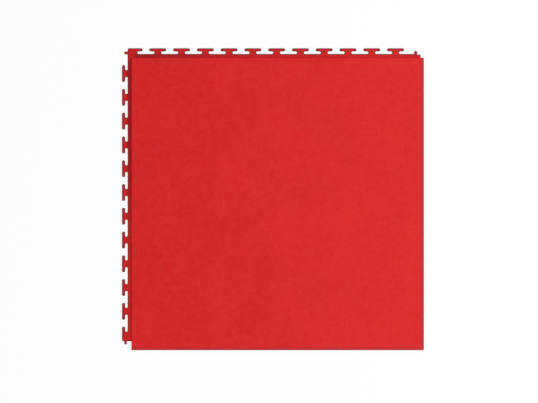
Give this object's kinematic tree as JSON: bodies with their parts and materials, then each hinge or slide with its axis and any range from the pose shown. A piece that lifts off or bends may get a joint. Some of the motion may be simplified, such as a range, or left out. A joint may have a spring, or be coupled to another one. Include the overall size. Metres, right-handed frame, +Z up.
{
  "type": "interlocking pvc floor tile",
  "caption": "Square moulded PVC floor tile whose T-shaped tabs on the left and far sides lock into hidden sockets under the edges of the next tile.",
  "frame": {"origin": "middle of the square wear face, on the floor plane under it", "axes": "+Z up out of the wear face, +Y towards the far row of tabs, -X towards the left row of tabs"},
  "size_m": [0.5148, 0.5148, 0.005],
  "materials": {
    "pvc": "satin"
  },
  "bodies": {
    "root": {"floor_tile": "pvc"}
  },
  "joints": []
}
